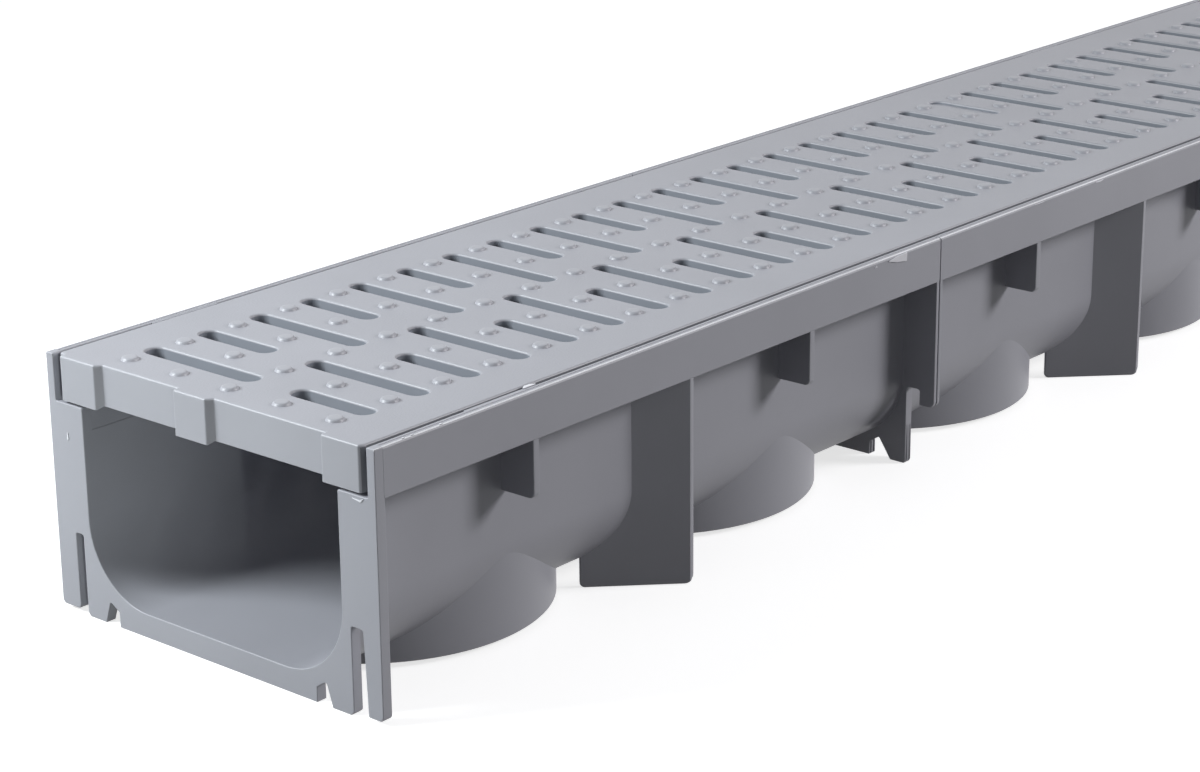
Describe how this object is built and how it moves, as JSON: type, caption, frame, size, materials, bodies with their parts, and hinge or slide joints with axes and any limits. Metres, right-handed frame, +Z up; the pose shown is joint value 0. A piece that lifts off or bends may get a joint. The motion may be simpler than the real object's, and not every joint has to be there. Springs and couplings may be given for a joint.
{
  "type": "channel drain",
  "caption": "Long shallow drain channel of moulded plastic with a slotted and studded grating lying flush in its rim.",
  "frame": {"origin": "middle of the base, under the centre of the channel", "axes": "+X along the channel away from the near end, +Y across it, +Z up"},
  "size_m": [1, 0.128, 0.0774],
  "materials": {
    "channel_plastic": "moulded, satin grey",
    "grating_plastic": "moulded, finely textured, the same grey"
  },
  "bodies": {
    "root": {"channel_body": "channel_plastic", "grating": "grating_plastic"}
  },
  "joints": []
}
